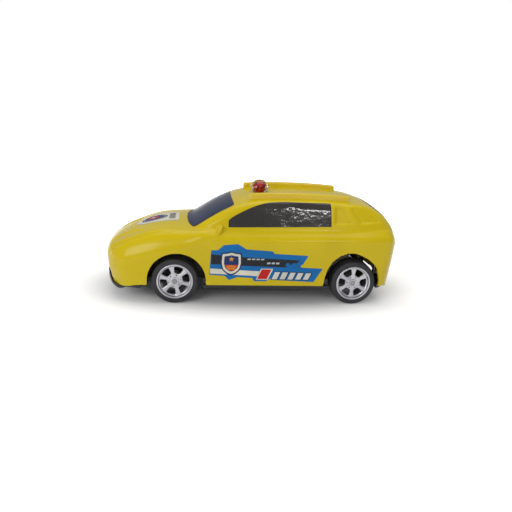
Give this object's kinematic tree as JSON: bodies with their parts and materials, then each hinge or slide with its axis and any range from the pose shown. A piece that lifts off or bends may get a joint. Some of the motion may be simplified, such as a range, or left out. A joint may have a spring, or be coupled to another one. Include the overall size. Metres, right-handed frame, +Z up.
{
  "type": "pull back car",
  "caption": "Toy police-style estate car: moulded shell on a flat base, beacon on the roof, wheels on steel axles and a wind-up spring motor on the rear axle.",
  "frame": {"origin": "on the ground plane, under the middle of the bounding box", "axes": "+X from nose to tail, -Y the car's left side, +Z up"},
  "size_m": [0.1548, 0.0624, 0.0611],
  "materials": {
    "yellow_shell": "glossy moulded yellow",
    "dark_film": "glossy charcoal film",
    "navy_film": "glossy navy film",
    "side_label_film": null,
    "hood_label_film": null,
    "clear_lens": "clear faceted plastic",
    "red_core": "glossy red",
    "black_plastic": "matte moulded black",
    "tyre": "soft black",
    "silver_rim": "vacuum-plated plastic",
    "grey_plastic": "pale grey moulded",
    "white_gear": "white acetal",
    "spring_steel": "blued spring steel",
    "steel": "plated steel"
  },
  "bodies": {
    "car": {"beacon_core": "red_core", "beacon_lens": "clear_lens", "body_shell": "yellow_shell", "chassis": "black_plastic", "chassis_screws": "steel", "front_axle_keeper": "black_plastic", "hood_label": "hood_label_film", "idler_shaft": "steel", "keeper_screws": "steel", "motor_case_left": "grey_plastic", "motor_case_right": "grey_plastic", "motor_screws": "steel", "rear_window": "dark_film", "side_label_left": "side_label_film", "side_label_right": "side_label_film", "side_window_left": "dark_film", "side_window_right": "dark_film", "spring_arbor": "steel", "windscreen": "navy_film"},
    "front_wheels": {"front_axle": "steel", "front_axle_washers": "steel", "rim_front_left": "silver_rim", "rim_front_right": "silver_rim", "tyre_front_left": "tyre", "tyre_front_right": "tyre"},
    "rear_wheels": {"rear_axle": "steel", "axle_pinion": "white_gear", "rear_axle_washers": "steel", "rim_rear_left": "silver_rim", "rim_rear_right": "silver_rim", "tyre_rear_left": "tyre", "tyre_rear_right": "tyre"},
    "idler": {"idler_gear": "white_gear"},
    "spring_drum": {"spring_gear": "white_gear", "mainspring": "spring_steel"}
  },
  "joints": [
    {"name": "front_axle_spin", "type": "hinge", "parent": "car", "child": "front_wheels", "pos_m": [-0.041, 0, 0.012], "axis": [0, 1, 0], "continuous": true},
    {"name": "rear_axle_spin", "type": "hinge", "parent": "car", "child": "rear_wheels", "pos_m": [0.053, 0, 0.012], "axis": [0, 1, 0], "continuous": true},
    {"name": "idler_spin", "type": "hinge", "parent": "car", "child": "idler", "pos_m": [0.0455, 0, 0.016], "axis": [0, 1, 0], "continuous": true},
    {"name": "spring_drum_spin", "type": "hinge", "parent": "car", "child": "spring_drum", "pos_m": [0.0359, 0, 0.0188], "axis": [0, 1, 0], "continuous": true}
  ],
  "couplings": [
    {"joint": "idler_spin", "follows": "rear_axle_spin", "ratio": -0.41667},
    {"joint": "spring_drum_spin", "follows": "rear_axle_spin", "ratio": 0.13889}
  ]
}
